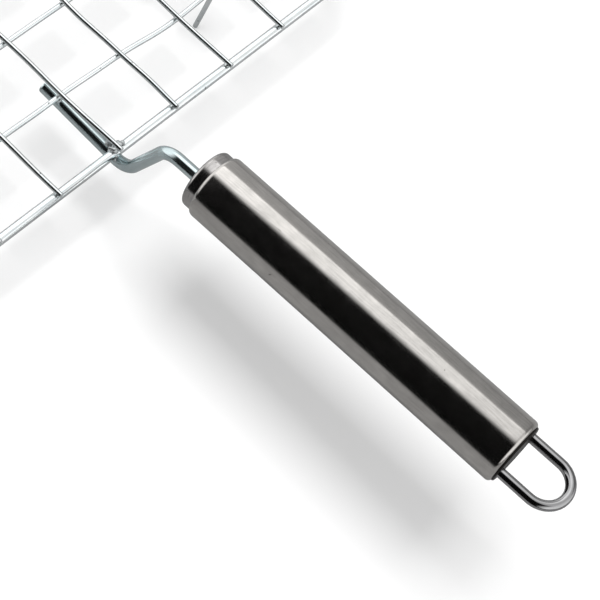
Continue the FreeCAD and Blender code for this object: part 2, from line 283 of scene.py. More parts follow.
def piece(name, skins, finish, body, stands_for=(), sharp=40.0):
    """Each of its skins is (rings of points, the same rings straightened, closed)."""
    points, faces, runs, start = [], [], [], 0
    for rings, run, closed in skins:
        own_points, own_faces = skin(rings, closed)
        own_runs = skin(run, closed)[0]
        points.append(own_points)
        runs.append(own_runs)
        faces += [[start + corner for corner in face] for face in own_faces]
        start += len(own_points)
    mesh = bpy.data.meshes.new(name)
    mesh.from_pydata(np.concatenate(points), [], faces)
    mesh.polygons.foreach_set("use_smooth", np.ones(len(faces), bool))
    mesh.set_sharp_from_angle(angle=math.radians(sharp))
    straight = mesh.attributes.new("run", "FLOAT_VECTOR", "POINT")
    straight.data.foreach_set("vector", np.concatenate(runs).astype(np.float32).ravel())
    mesh.materials.append(finish)
    made = bpy.data.objects.new(name, mesh)
    bpy.context.collection.objects.link(made)
    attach(made, body)
    if stands_for:
        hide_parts(*stands_for)
    return made


SPECK_EDGE = 0.05            # how far past the threshold a spot is full
WEAR_RANGE = (0.7, 1.3)      # mottle and lines together, where wear begins and is full


def group(name, inputs, outputs):
    """An empty shader node group with named number inputs and named outputs."""
    made = bpy.data.node_groups.new(name, "ShaderNodeTree")
    for label, value in inputs.items():
        socket = made.interface.new_socket(name=label, in_out="INPUT", socket_type="NodeSocketFloat")
        socket.default_value = value
    for label in outputs:
        made.interface.new_socket(name=label, in_out="OUTPUT", socket_type="NodeSocketFloat")
    return made


def make_grain_group():
    """Fine lines along the piece, and slow change over it, read from its straightened coordinates."""
    made = group("steel_grain", {"Across": 2600.0, "Along": 30.0, "Patch": 90.0}, ["Lines", "Mottle"])
    inside = node(made, "NodeGroupInput")
    run = node(made, "ShaderNodeAttribute", attribute_name="run").outputs["Vector"]
    scale = node(
        made, "ShaderNodeCombineXYZ",
        {0: inside.outputs["Across"], 1: inside.outputs["Across"], 2: inside.outputs["Along"]})
    fine = node(made, "ShaderNodeVectorMath", {0: run, 1: scale.outputs[0]}, operation="MULTIPLY")
    lines = node(
        made, "ShaderNodeTexNoise",
        {"Vector": fine.outputs[0], "Scale": 1.0, "Detail": 3.0, "Roughness": 0.6})
    patches = node(
        made, "ShaderNodeTexNoise",
        {"Vector": run, "Scale": inside.outputs["Patch"], "Detail": 4.0, "Roughness": 0.55})
    node(made, "NodeGroupOutput", {"Lines": lines.outputs["Fac"], "Mottle": patches.outputs["Fac"]})
    return made


def make_speck_group():
    """Sparse small spots: 1 inside a spot and 0 elsewhere, where fine noise passes a high threshold."""
    made = group("plating_specks", {"Size": 700.0, "Threshold": 0.70}, ["Mask"])
    inside = node(made, "NodeGroupInput")
    place = node(made, "ShaderNodeTexCoord").outputs["Object"]
    noise = node(
        made, "ShaderNodeTexNoise",
        {"Vector": place, "Scale": inside.outputs["Size"], "Detail": 2.0, "Roughness": 0.5})
    top = node(made, "ShaderNodeMath", {0: inside.outputs["Threshold"], 1: SPECK_EDGE}, operation="ADD")
    edge = {
        "Value": noise.outputs["Fac"], "From Min": inside.outputs["Threshold"], "From Max": top.outputs[0]}
    mask = node(made, "ShaderNodeMapRange", edge, interpolation_type="SMOOTHSTEP")
    node(made, "NodeGroupOutput", {"Mask": mask.outputs[0]})
    return made


grain_group = make_grain_group()
speck_group = make_speck_group()


def steel(
        name, light, dark, smooth, rough, speck, lines, across, along,
        patch=90.0, threshold=0.72, size=900.0):
    """A bare or plated steel finish.

    Where it is worn, by the mottle and the grain lines together, its colour goes from light to dark
    and its roughness from smooth to rough. The spots are `speck`, and the lines lift it by
    `lines` metres."""
    made = bpy.data.materials.new(name)
    made.use_nodes = True
    tree = made.node_tree
    shader = tree.nodes["Principled BSDF"]
    shader.inputs["Metallic"].default_value = 1.0
    grain = node(tree, "ShaderNodeGroup", {}, node_tree=grain_group)
    for label, value in (("Across", across), ("Along", along), ("Patch", patch)):
        grain.inputs[label].default_value = value
    spots = node(tree, "ShaderNodeGroup", {}, node_tree=speck_group)
    spots.inputs["Threshold"].default_value = threshold
    spots.inputs["Size"].default_value = size
    both = node(
        tree, "ShaderNodeMath", {0: grain.outputs["Mottle"], 1: grain.outputs["Lines"]}, operation="ADD")
    wear_range = {"Value": both.outputs[0], 1: WEAR_RANGE[0], 2: WEAR_RANGE[1]}
    wear = node(tree, "ShaderNodeMapRange", wear_range).outputs[0]
    base = node(tree, "ShaderNodeMix", {0: wear, 6: (*light, 1), 7: (*dark, 1)}, data_type="RGBA")
    spotted = node(
        tree, "ShaderNodeMix", {0: spots.outputs["Mask"], 6: base.outputs[2], 7: (*speck, 1)},
        data_type="RGBA")
    tree.links.new(spotted.outputs[2], shader.inputs["Base Color"])
    gloss = node(tree, "ShaderNodeMapRange", {"Value": wear, 3: smooth, 4: rough})
    tree.links.new(gloss.outputs[0], shader.inputs["Roughness"])
    relief = node(tree, "ShaderNodeBump", {"Height": grain.outputs["Lines"], "Distance": lines})
    tree.links.new(relief.outputs[0], shader.inputs["Normal"])
    return made


zinc_plate = steel(
    "zinc_plate", light=(0.96, 0.98, 0.98), dark=(0.76, 0.82, 0.84), smooth=0.12, rough=0.28,
    speck=(0.05, 0.06, 0.06), lines=0.000012, across=2200.0, along=60.0, threshold=0.70, size=800.0)


def ring_path(node_name):
    """The centre line of a ring of wire that fills a CAD node's box, from the middle of its far run."""
    low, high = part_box(node_name)
    radius = (high.z - low.z) / 2
    left, right = low.x + radius, high.x - radius
    near, far = low.y + radius, high.y - radius
    level = (low.z + high.z) / 2
    middle = (left + right) / 2
    corners = [(middle, far), (left, far), (left, near), (right, near), (right, far), (middle, far)]
    return bent([(x, y, level) for x, y in corners], CORNER_RADIUS)[:-1], radius


def border_wire(node_name, body):
    """A ring of wire with its butt weld: the radius swells by a bell curve of the distance to the joint."""
    path, radius = ring_path(node_name)
    steps = np.arange(len(path)) * WIRE_STEP
    to_joint = np.minimum(steps, steps[-1] - steps)
    swell = 1.0 + WELD_SWELL * np.exp(-((to_joint / WELD_SPREAD) ** 2))
    rings, run = carried(path, round_section(radius, RING_AROUND), scale=swell, closed=True)
    return piece(node_name + "_wire", [(rings, run, True)], zinc_plate, body, [node_name])


border_wire("tray_frame", "tray")


# ------------------------------------------------------------------ Mesh of the tray
# Thin drawn wires, cut to length and resistance welded where they cross. The long ones lie on top
# and end flush with the border wire, and the cross ones are butted between its sides.
WAVE_SIDE = 0.00018          # how far a wire wanders from its line
WAVE_UP = 0.00003
MESH_AROUND = 14             # points round a mesh wire
WAVE_TURNS = (1.5, 4.5)      # fewest and most waves along a wire
RIPPLE_TURNS = 2.3           # multiplies the turns of a second, smaller wave
RIPPLE_SHARE = 0.5           # that wave's height to the first one's
DENT_X = 0.050               # the tray's first cross wire is bent towards the handle here
DENT_DEPTH = 0.0017
DENT_REACH = (0.020, 0.010)
SHEAR_STEPS = (0.0, 0.02, 0.12, 0.35)       # of the radius, in from a cut end
SHEAR_SIZES = (0.80, 0.91, 0.98, 1.0)


def cut_ends(path, radius):
    """The path with closer points at its ends, and each point's scale, which rounds the cut edges."""
    first, last = path[0], path[-1]
    inward = unit(path[1] - path[0]), unit(path[-2] - path[-1])
    steps = np.array(SHEAR_STEPS)[:, None] * radius
    start = first + steps * inward[0]
    end = (last + steps * inward[1])[::-1]
    sizes = np.array(SHEAR_SIZES)
    scale = np.concatenate([sizes, np.ones(len(path) - 2), sizes[::-1]])
    return np.concatenate([start, path[1:-1], end]), scale


def dented(points, body):
    """The points, with those near the tray's dent moved to -Y by a bell curve of the distance to it."""
    cross_y = straight_run("tray_cross_wire_1")[0][1]
    aside = (points[:, 0] - DENT_X) / DENT_REACH[0]
    ahead = (points[:, 1] - cross_y) / DENT_REACH[1]
    near = aside ** 2 + ahead ** 2
    depth = DENT_DEPTH * np.exp(-near) * (body == "tray")
    return points - depth[:, None] * np.array([0.0, 1.0, 0.0])


def straight_run(node_name):
    """The two ends and the radius of a straight wire that fills a CAD node's box."""
    low, high = (np.array(corner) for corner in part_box(node_name))
    size = high - low
    longest = int(np.argmax(size))
    radius = float(np.sort(size)[0]) / 2
    start = (low + high) / 2
    end = start.copy()
    start[longest] = low[longest]
    end[longest] = high[longest]
    return start, end, radius


def mesh_wire(node_name, body):
    """A wire with a slight wander: two slow waves of its length, to the side and, less, upwards."""
    start, end, radius = straight_run(node_name)
    length = np.linalg.norm(end - start)
    share = np.linspace(0.0, 1.0, int(length / WIRE_STEP) + 2)
    path = start + share[:, None] * (end - start)
    phase = rng.uniform(0.0, 2 * np.pi, 4)
    turns = rng.uniform(*WAVE_TURNS, 2)
    ripple = np.sin(2 * np.pi * RIPPLE_TURNS * turns[1] * share + phase[1])
    slow = np.sin(2 * np.pi * turns[0] * share + phase[0]) + RIPPLE_SHARE * ripple
    side = unit(np.cross(end - start, (0.0, 0.0, 1.0)))
    path = path + WAVE_SIDE * slow[:, None] * side
    path[:, 2] += WAVE_UP * np.sin(2 * np.pi * turns[1] * share + phase[2])
    path, scale = cut_ends(dented(path, body), radius)
    rings, run = carried(path, round_section(radius, MESH_AROUND), scale=scale)
    run[..., 2] += phase[3]
    return piece(node_name + "_drawn", [(rings, run, False)], zinc_plate, body, [node_name])


def mesh_panel(side):
    """All the wires of one mesh panel, by the names of its CAD nodes."""
    for name in sorted(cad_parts):
        if name.startswith((side + "_long_wire", side + "_cross_wire")):
            mesh_wire(name, side)


mesh_panel("tray")


# ------------------------------------------------------------------ Welds of the tray's mesh
# Where two wires were pressed together hot, a little metal has squeezed out round the joint.
BEAD_ROUND = 0.7             # under 1 squares the bead's shape
BEAD_UNEVEN = 0.15
BEAD_WAVES = (1.5, 5.0)
CROSS_WELD = (1.12, 1.12, 0.45)     # half sizes, as shares of the wire's radius
BORDER_WELD = (1.25, 1.10, 0.40)
BUTT_WELD = (0.60, 1.25, 0.95)
BUTT_WELD_DROP = 0.2


def swollen(values):
    """Sines or cosines raised to a power under 1, their signs kept."""
    return np.sign(values) * np.abs(values) ** BEAD_ROUND


def beads(name, places, sizes, finish, body, fineness=(8, 5), lumps=0.0):
    """Small squarish drops of metal, one at each place, as one piece.

    A drop is an ellipsoid whose sine and cosine are raised to a power under 1, which swells its
    corners. Each has its own random size, and lumps that are sines of the place on the drop."""
    across = np.linspace(0.0, 2 * np.pi, fineness[0], endpoint=False)
    up = np.linspace(-np.pi / 2, np.pi / 2, fineness[1] + 2)[1:-1]
    around = swollen([np.cos(across), np.sin(across)])
    girth = np.cos(up)[:, None] ** BEAD_ROUND
    level = swollen(np.sin(up))
    rise = np.broadcast_to(level[:, None], (len(up), len(across)))
    drop = np.stack([around[0] * girth, around[1] * girth, rise], axis=-1)
    skins = []
    for place, size in zip(np.asarray(places), np.asarray(sizes)):
        own = size * rng.uniform(1 - BEAD_UNEVEN, 1 + BEAD_UNEVEN, 3)
        waves = np.sin(drop @ rng.uniform(*BEAD_WAVES, (3, 3)) + rng.uniform(0.0, 2 * np.pi, 3))
        rings = place + drop * own * (1.0 + lumps * waves.mean(axis=-1, keepdims=True))
        skins.append((rings, rings, False))
    return piece(name, skins, finish, body, sharp=180.0)


def mesh_welds(side):
    """The drops between crossing wires, and where the wires meet the border wire."""
    names = sorted(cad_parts)
    longs = [straight_run(name) for name in names if name.startswith(side + "_long_wire")]
    crosses = [straight_run(name) for name in names if name.startswith(side + "_cross_wire")]
    ring, border = ring_path(side + "_frame")
    level = ring[0][2]
    near, far = ring[:, 1].min(), ring[:, 1].max()
    places, sizes = [], []
    for start, _, radius in longs:
        for cross_start, _, _ in crosses:
            places.append((start[0], cross_start[1], (start[2] + cross_start[2]) / 2))
            sizes.append([share * radius for share in CROSS_WELD])
        for y in (near, far):
            places.append((start[0], y, (start[2] * border + level * radius) / (border + radius)))
            sizes.append([share * radius for share in BORDER_WELD])
    for start, end, radius in crosses:
        for x in (start[0], end[0]):
            places.append((x, start[1], start[2] - BUTT_WELD_DROP * radius))
            sizes.append([share * radius for share in BUTT_WELD])
    return beads(side + "_mesh_welds", dented(np.array(places), side), sizes, zinc_plate, side)


mesh_welds("tray")


# ------------------------------------------------------------------ Leg wires
# One mesh wire along each side, welded under the cross wires. Its two ends are bent down as legs,
# lean in a little, and are cut level with the table.
LEG_BEND = 0.004
LEG_STEP = 0.0008
LEG_TOP_INSET = 0.0250       # legs' tops and feet, in from the border wire's centre line
LEG_FOOT_INSET = 0.0287


def leg_wire(node_name):
    """A wire along three straight runs with two bends, its cut feet flat on the table."""
    low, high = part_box(node_name)
    radius = (high.x - low.x) / 2
    ring, _ = ring_path("tray_frame")
    near, far = ring[:, 1].min(), ring[:, 1].max()
    x = (low.x + high.x) / 2
    top = high.z - radius
    corners = [
        (x, near + LEG_FOOT_INSET, 0.0),
        (x, near + LEG_TOP_INSET, top),
        (x, far - LEG_TOP_INSET, top),
        (x, far - LEG_FOOT_INSET, 0.0),
    ]
    path, scale = cut_ends(bent(corners, LEG_BEND, LEG_STEP), radius)
    rings, run = carried(path, round_section(radius, MESH_AROUND), up=(1, 0, 0), scale=scale)
    # A leg leans, so the lower side of its cut end is trimmed off at the table.
    rings[..., 2] = np.maximum(rings[..., 2], 0.0)
    return piece(
        node_name + "_bent", [(rings, run, False)], zinc_plate, "tray", [node_name])


leg_wire("left_leg_wire")
leg_wire("right_leg_wire")


# ------------------------------------------------------------------ Handle rod
# Thick plated rod, welded under the middle long wire and the border wire and cranked up twice to
# the handle. It enters the cap a little below the handle's axis and ends inside the tube.
HANDLE_TILT = math.radians(2.75)
HANDLE_X = 0.0004
HANDLE_RISE = 0.0201         # handle axis above the long wires, over the border wire
ROD_X = 0.0
ROD_DROP = 0.0015            # rod below the handle's axis, inside the cap
ROD_BEND = 0.008
ROD_START_INSET = 0.032
ROD_KNEE = 0.0053
ROD_ELBOW = 0.0169
ROD_PAST_WASHER = 0.002
ROD_STEP = 0.0006
ROD_AROUND = 40

tray_ring, border_radius = ring_path("tray_frame")
front_y = tray_ring[:, 1].min()
mesh_start, _, mesh_radius = straight_run("tray_long_wire_1")
mesh_level = mesh_start[2]
handle_ahead = np.array([0.0, -math.cos(HANDLE_TILT), math.sin(HANDLE_TILT)])
handle_side = np.array([1.0, 0.0, 0.0])
handle_up = np.array([0.0, math.sin(HANDLE_TILT), math.cos(HANDLE_TILT)])
handle_foot = np.array([HANDLE_X, front_y, mesh_level + HANDLE_RISE])
rod_offset = (ROD_X - HANDLE_X) * handle_side - ROD_DROP * handle_up


def along_handle(distance):
    """The point on the handle's axis this far out from the border wire."""
    return handle_foot + np.asarray(distance)[..., None] * handle_ahead


def reach_of(node_name):
    """How far out along the handle a round piece on its axis starts and ends, and its radius."""
    low, high = (np.array(corner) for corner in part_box(node_name))
    radius = (high[0] - low[0]) / 2
    middle = ((low + high) / 2 - handle_foot) @ handle_ahead
    half = ((high[1] - low[1]) / 2 - radius * math.sin(HANDLE_TILT)) / math.cos(HANDLE_TILT)
    return middle - half, middle + half, radius


rod_low, rod_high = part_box("handle_rod")
rod_radius = (rod_high.x - rod_low.x) / 2
under_cross = -3 * mesh_radius - rod_radius
under_border = -(mesh_radius + 2 * border_radius) - rod_radius
cell = straight_run("tray_cross_wire_1")[0][1] - front_y
slope = (under_cross - under_border) / cell
washer_start, washer_end, washer_radius = reach_of("rod_washer")
rod_end = washer_end + ROD_PAST_WASHER
rod_corners = [
    (ROD_X, front_y + ROD_START_INSET, mesh_level + under_border + slope * ROD_START_INSET),
    (ROD_X, front_y - ROD_KNEE, mesh_level + under_border - slope * ROD_KNEE),
    tuple(along_handle(ROD_ELBOW) + rod_offset),
    tuple(along_handle(rod_end) + rod_offset),
]
rod_plate = steel(
    "rod_plate", light=(0.74, 0.83, 0.84), dark=(0.50, 0.60, 0.62), smooth=0.12, rough=0.25,
    speck=(0.12, 0.14, 0.14), lines=0.000015, across=1400.0, along=40.0, threshold=0.74, size=600.0)
rod_path, rod_scale = cut_ends(bent(rod_corners, ROD_BEND, ROD_STEP), rod_radius)
rod_rings, rod_run = carried(rod_path, round_section(rod_radius, ROD_AROUND), up=(1, 0, 0), scale=rod_scale)
piece("handle_rod_cranked", [(rod_rings, rod_run, False)], rod_plate, "tray", ["handle_rod"])

# Lumps of weld metal where the rod meets the border wire, the middle long wire and the cross wire.
weld_metal = steel(
    "weld_metal", light=(0.74, 0.78, 0.79), dark=(0.40, 0.42, 0.42), smooth=0.20, rough=0.45,
    speck=(0.05, 0.05, 0.045), lines=0.00006, across=900.0, along=900.0,
    patch=500.0, threshold=0.62, size=900.0)
rod_welds = [
    ((-0.0017, -0.0002, -1.2 * border_radius), (0.0010, 0.0016, 0.0011)),
    ((0.0018, 0.0002, -1.2 * border_radius), (0.0010, 0.0015, 0.0011)),
    ((-0.0004, 0.0016, -0.9 * border_radius), (0.0016, 0.0009, 0.0009)),
    ((-0.0012, 0.0004, 0.15 * border_radius), (0.0012, 0.0014, 0.0007)),
    ((0.0012, 0.0010, 0.10 * border_radius), (0.0012, 0.0012, 0.0007)),
    ((0.0024, 0.0004, -0.2 * border_radius), (0.0010, 0.0009, 0.0006)),
    ((-0.0005, 0.0032, -0.6 * border_radius), (0.0009, 0.0013, 0.0007)),
    ((0.0000, cell, -2 * mesh_radius), (0.0016, 0.0010, 0.0006)),
]
weld_foot = np.array([ROD_X, front_y, mesh_level - mesh_radius])
weld_places = [weld_foot + np.array(place) for place, size in rod_welds]
weld_sizes = [size for place, size in rod_welds]
beads("rod_welds", weld_places, weld_sizes, weld_metal, "tray", fineness=(20, 13), lumps=0.28)


# ------------------------------------------------------------------ Handle tube
# Thin stainless tube with a satin finish. Its edge at the tray is rounded over the cap, and the
# far end's lip is rolled inwards over the plug.
TUBE_WALL = 0.0007
START_ROLL = (0.0013, 0.00065)    # along and across
LIP_ROLL = 0.0016
ROLL_MARGIN = 0.002          # from a rounded edge to the wall's first even point
TURNED_AROUND = 128


def arc(centre, size, start, end, count=10):
    """Points of an elliptical arc between two angles in degrees, first direction to second."""
    angle = np.radians(np.linspace(start, end, count))
    return np.stack([centre[0] + size[0] * np.cos(angle), centre[1] + size[1] * np.sin(angle)], axis=1)


def level_line(start, end, step=0.004):
    """Evenly spaced points of a straight line between two points, ends included."""
    start, end = np.asarray(start, float), np.asarray(end, float)
    count = max(2, int(np.linalg.norm(end - start) / step) + 1)
    return start + np.linspace(0.0, 1.0, count)[:, None] * (end - start)


def turned(profile, off_centre=0.0):
    """A profile of (along, radius) points turned about the handle's axis, as rings of points.

    Each ring is a circle at the profile point's distance and radius. Its centre is moved from the
    handle's axis towards the rod's by that point's share."""
    angle = np.linspace(0.0, 2 * np.pi, TURNED_AROUND, endpoint=False)
    circle = np.stack([np.cos(angle), np.sin(angle)], axis=1)
    spokes = circle @ np.stack([handle_side, handle_up])
    share = np.broadcast_to(off_centre, len(profile))
    centre = along_handle(profile[:, 0]) + share[:, None] * rod_offset
    rings = centre[:, None] + profile[:, 1, None, None] * spokes
    flat = profile[:, 1, None, None] * circle
    run = np.concatenate([flat, np.broadcast_to(profile[:, 0, None, None], flat.shape[:2] + (1,))], axis=2)
    return rings, run


tube_start, tube_end, tube_radius = reach_of("handle_tube")
bore = tube_radius - TUBE_WALL
lip = (tube_end - LIP_ROLL, tube_radius - LIP_ROLL)
inner_roll = LIP_ROLL - TUBE_WALL
tube_profile = np.concatenate([
    arc((tube_start + START_ROLL[0], tube_radius - START_ROLL[1]), START_ROLL, 180, 90),
    level_line(
        (tube_start + START_ROLL[0] + ROLL_MARGIN, tube_radius),
        (tube_end - LIP_ROLL - ROLL_MARGIN, tube_radius)),
    arc(lip, (LIP_ROLL, LIP_ROLL), 90, 0, 14),
    arc(lip, (inner_roll, inner_roll), 0, 90, 8),
    level_line((tube_end - LIP_ROLL - ROLL_MARGIN, bore), (tube_start, bore)),
])
satin_steel = steel(
    "satin_steel", light=(0.61, 0.59, 0.565), dark=(0.48, 0.465, 0.445), smooth=0.12, rough=0.20,
    speck=(0.12, 0.11, 0.10), lines=0.000004, across=2200.0, along=160.0,
    patch=220.0, threshold=0.735, size=650.0)
tube_rings, tube_run = turned(tube_profile)
piece(
    "handle_tube_rolled", [(tube_rings, tube_run, True)], satin_steel, "tray", ["handle_tube"])


# ------------------------------------------------------------------ End cap and washer
# Pressed stainless cup pushed into the tube, its closed end standing out, with the rod welded in
# its hole. The washer is welded on the rod's end inside, so that the tube can't rock.
CAP_EDGE = 0.0012
CAP_CORNER = 0.0003          # eased corner inside
CAP_SEAM = 0.00026           # room round the cap that shows as a dark line
HOLE_EASE = 1.01             # hole to rod
WASHER_EDGE = 0.0002

cap_start, cap_end, cap_radius = reach_of("handle_cap")
cap_outside = cap_radius - CAP_SEAM
cap_inside = cap_radius - TUBE_WALL
hole = rod_radius * HOLE_EASE
cap_profile = np.concatenate([
    level_line((cap_start, hole), (cap_start, cap_outside - CAP_EDGE), 0.0007),
    arc((cap_start + CAP_EDGE, cap_outside - CAP_EDGE), (CAP_EDGE, CAP_EDGE), 180, 90, 12)[1:],
    level_line((cap_start + CAP_EDGE + 0.0005, cap_outside), (cap_end, cap_outside), 0.002),
    level_line((cap_end, cap_inside), (cap_start + TUBE_WALL, cap_inside), 0.002),
    level_line((cap_start + TUBE_WALL, cap_inside - CAP_CORNER), (cap_start + TUBE_WALL, hole), 0.0007),
])
cap_shift = np.clip((cap_inside - CAP_EDGE - cap_profile[:, 1]) / (cap_inside - CAP_EDGE - hole), 0.0, 1.0)
cap_steel = steel(
    "cap_steel", light=(0.54, 0.525, 0.515), dark=(0.30, 0.29, 0.285), smooth=0.12, rough=0.26,
    speck=(0.10, 0.09, 0.09), lines=0.000008, across=300.0, along=2500.0,
    patch=220.0, threshold=0.70, size=700.0)
cap_rings, cap_run = turned(cap_profile, cap_shift)
piece("handle_cap_pressed", [(cap_rings, cap_run, True)], cap_steel, "tray", ["handle_cap"])

strap_steel = steel(
    "strap_steel", light=(0.74, 0.76, 0.77), dark=(0.52, 0.54, 0.55), smooth=0.18, rough=0.36,
    speck=(0.10, 0.10, 0.10), lines=0.000012, across=900.0, along=500.0, patch=160.0, threshold=0.70)
washer_profile = np.concatenate([
    level_line((washer_start, hole), (washer_start, washer_radius - WASHER_EDGE), 0.002),
    level_line(
        (washer_start + WASHER_EDGE, washer_radius), (washer_end - WASHER_EDGE, washer_radius), 0.0008),
    level_line((washer_end, washer_radius - WASHER_EDGE), (washer_end, hole), 0.002),
])
washer_shift = (washer_radius - washer_profile[:, 1]) / (washer_radius - hole)
washer_rings, washer_run = turned(washer_profile, washer_shift)
piece(
    "rod_washer_stamped", [(washer_rings, washer_run, True)], strap_steel, "tray", ["rod_washer"])

# A low collar of weld round the rod where it enters the cap.
COLLAR_HEIGHT = 0.0007
COLLAR_SPREAD = 0.0011
COLLAR_SINK = 0.0002
COLLAR_RIPPLE = 0.10         # of its size, in this many waves round the rod
COLLAR_WAVES = 5
collar_foot = cap_start + COLLAR_SINK
collar_profile = np.concatenate([
    level_line((collar_foot, hole + COLLAR_SPREAD), (collar_foot, hole - COLLAR_SINK), 0.001),
    arc((cap_start, hole - COLLAR_SINK), (-COLLAR_HEIGHT, COLLAR_SPREAD), 0, 90, 9),
])
collar_rings, collar_run = turned(collar_profile, 1.0)
collar_phase = rng.uniform(0.0, 2 * np.pi, 3)[0]
round_rod = np.linspace(0.0, 2 * np.pi, TURNED_AROUND, endpoint=False)
ripple = 1.0 + COLLAR_RIPPLE * np.sin(round_rod * COLLAR_WAVES + collar_phase)
collar_axis = collar_rings.mean(axis=1, keepdims=True)
collar_rings = collar_axis + (collar_rings - collar_axis) * ripple[:, None]
piece("rod_collar_weld", [(collar_rings, collar_run, True)], weld_metal, "tray")


# ------------------------------------------------------------------ Plug and hanging loop
# Black moulded plug held behind the tube's rolled lip, and the polished wire loop pressed into it.
RIM_THICK = 0.0006           # low rim of the plug that sits on the tube's lip
RIM_REACH = 0.0006
RIM_SINK = 0.00006
LIP_OVERLAP = 0.0001
PLUG_EDGE = 0.0005
PLUG_HUB = 0.001
FACE_EDGE = 0.75             # of the plug's radius, where its outer face is full height
FACE_RISE = (0.8, 0.7)       # of the rim's thickness, there and in the middle
FACE_HUB = 0.0005
LOOP_HALF = 0.0075
LOOP_TIP_OUT = 0.0201        # loop's outer edge beyond the tube's end
LOOP_STEP = 0.0004
LOOP_AROUND = 32

plug_start, _, plug_radius = reach_of("handle_plug")
plug_shoulder = tube_end - TUBE_WALL
rim_foot = tube_end - RIM_SINK
plug_profile = np.concatenate([
    level_line((plug_start, PLUG_HUB), (plug_start, plug_radius - PLUG_EDGE), 0.003),
    level_line((plug_start + PLUG_EDGE, plug_radius), (plug_shoulder - 2 * inner_roll, plug_radius), 0.003),
    arc((plug_shoulder - inner_roll, plug_radius - inner_roll), (inner_roll, inner_roll), 90, 0, 8),
    level_line((plug_shoulder, lip[1] - LIP_OVERLAP), (rim_foot, lip[1] - LIP_OVERLAP), 0.001),
    arc((rim_foot, lip[1] + RIM_REACH - RIM_THICK), (RIM_THICK, RIM_THICK), 90, 0, 8),
    level_line(
        (tube_end + FACE_RISE[0] * RIM_THICK, FACE_EDGE * plug_radius),
        (tube_end + FACE_RISE[1] * RIM_THICK, FACE_HUB), 0.001),
])
plug_black = bpy.data.materials.new("plug_black")
plug_black.use_nodes = True
tree = plug_black.node_tree
shader = tree.nodes["Principled BSDF"]
shader.inputs["Specular IOR Level"].default_value = 0.15
place = node(tree, "ShaderNodeTexCoord").outputs["Object"]
scuffs = node(
    tree, "ShaderNodeTexNoise", {"Vector": place, "Scale": 260.0, "Detail": 5.0, "Roughness": 0.6})
blacks = {0: scuffs.outputs["Fac"], 6: (0.002, 0.0018, 0.0015, 1), 7: (0.010, 0.008, 0.006, 1)}
plastic = node(tree, "ShaderNodeMix", blacks, data_type="RGBA")
tree.links.new(plastic.outputs[2], shader.inputs["Base Color"])
dull = node(tree, "ShaderNodeMapRange", {"Value": scuffs.outputs["Fac"], 1: 0.3, 2: 0.7, 3: 0.28, 4: 0.50})
tree.links.new(dull.outputs[0], shader.inputs["Roughness"])
pits = node(tree, "ShaderNodeTexNoise", {"Vector": place, "Scale": 2600.0, "Detail": 2.0})
skin_relief = node(tree, "ShaderNodeBump", {"Height": pits.outputs["Fac"], "Distance": 0.00002})
tree.links.new(skin_relief.outputs[0], shader.inputs["Normal"])
plug_rings, plug_run = turned(plug_profile)
piece(
    "handle_plug_moulded", [(plug_rings, plug_run, False)], plug_black, "tray", ["handle_plug"])

loop_low, loop_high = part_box("hang_loop")
loop_radius = (loop_high.x - loop_low.x) / 2 - LOOP_HALF
bend_centre = tube_end + LOOP_TIP_OUT - loop_radius - LOOP_HALF
loop_flat = np.concatenate([
    [(plug_start, -LOOP_HALF)],
    arc((bend_centre, 0.0), (LOOP_HALF, LOOP_HALF), -90, 90, 64),
    [(plug_start, LOOP_HALF)],
])
loop_line = evenly(loop_flat, LOOP_STEP)
loop_path = along_handle(loop_line[:, 0]) + loop_line[:, 1:] * handle_side
polished_wire = steel(
    "polished_wire", light=(0.46, 0.46, 0.465), dark=(0.32, 0.32, 0.325), smooth=0.08, rough=0.17,
    speck=(0.2, 0.2, 0.2), lines=0.000005, across=1800.0, along=60.0, threshold=0.78, size=700.0)
loop_rings, loop_run = carried(loop_path, round_section(loop_radius, LOOP_AROUND), up=handle_up)
piece("hang_loop_bent", [(loop_rings, loop_run, False)], polished_wire, "tray", ["hang_loop"])


# ------------------------------------------------------------------ Lid
# A second mesh panel with a ring of wire over its edge and a rim ring above that. Short upright
# wires, welded inside both rings, make a shallow wall.
STRUT_ACROSS = (-0.0875, -0.0375, 0.0375, 0.0875)
STRUT_CELLS = (0.8, 2.6, 5.4, 7.2)
LID_CELLS = 8
WALL_NEAR = 0.001            # a strut this close to a side belongs to it
WALL_WELD = (0.0008, 0.0008, 0.0009)

border_wire("lid_frame", "lid")
border_wire("lid_rim", "lid")
mesh_panel("lid")
mesh_welds("lid")

rim_ring, _ = ring_path("lid_rim")
rim_near, rim_far = rim_ring[:, 1].min(), rim_ring[:, 1].max()
rim_level = rim_ring[0][2]
frame_level = ring_path("lid_frame")[0][0][2]
strut_low, strut_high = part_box("lid_struts")
strut_left, strut_right = strut_low.x + mesh_radius, strut_high.x - mesh_radius
strut_near, strut_far = strut_low.y + mesh_radius, strut_high.y - mesh_radius
lid_cell = (rim_far - rim_near) / LID_CELLS
strut_places = [(x, y) for x in STRUT_ACROSS for y in (strut_near, strut_far)]
strut_places += [
    (x, rim_near + cells * lid_cell) for x in (strut_left, strut_right) for cells in STRUT_CELLS]
strut_skins, strut_joints = [], []
for x, y in strut_places:
    strut_path, strut_scale = cut_ends(
        level_line((x, y, strut_low.z), (x, y, strut_high.z), WIRE_STEP), mesh_radius)
    strut_section = round_section(mesh_radius, MESH_AROUND)
    strut_rings, strut_run = carried(strut_path, strut_section, up=(1, 0, 0), scale=strut_scale)
    strut_skins.append((strut_rings, strut_run, False))
    outward = unit(np.array([
        (x > strut_right - WALL_NEAR) * 1.0 - (x < strut_left + WALL_NEAR),
        (y > strut_far - WALL_NEAR) * 1.0 - (y < strut_near + WALL_NEAR)]))
    joint = np.array([x, y]) + outward * mesh_radius
    strut_joints += [(*joint, rim_level), (*joint, frame_level)]
piece("lid_struts_cut", strut_skins, zinc_plate, "lid", ["lid_struts"])
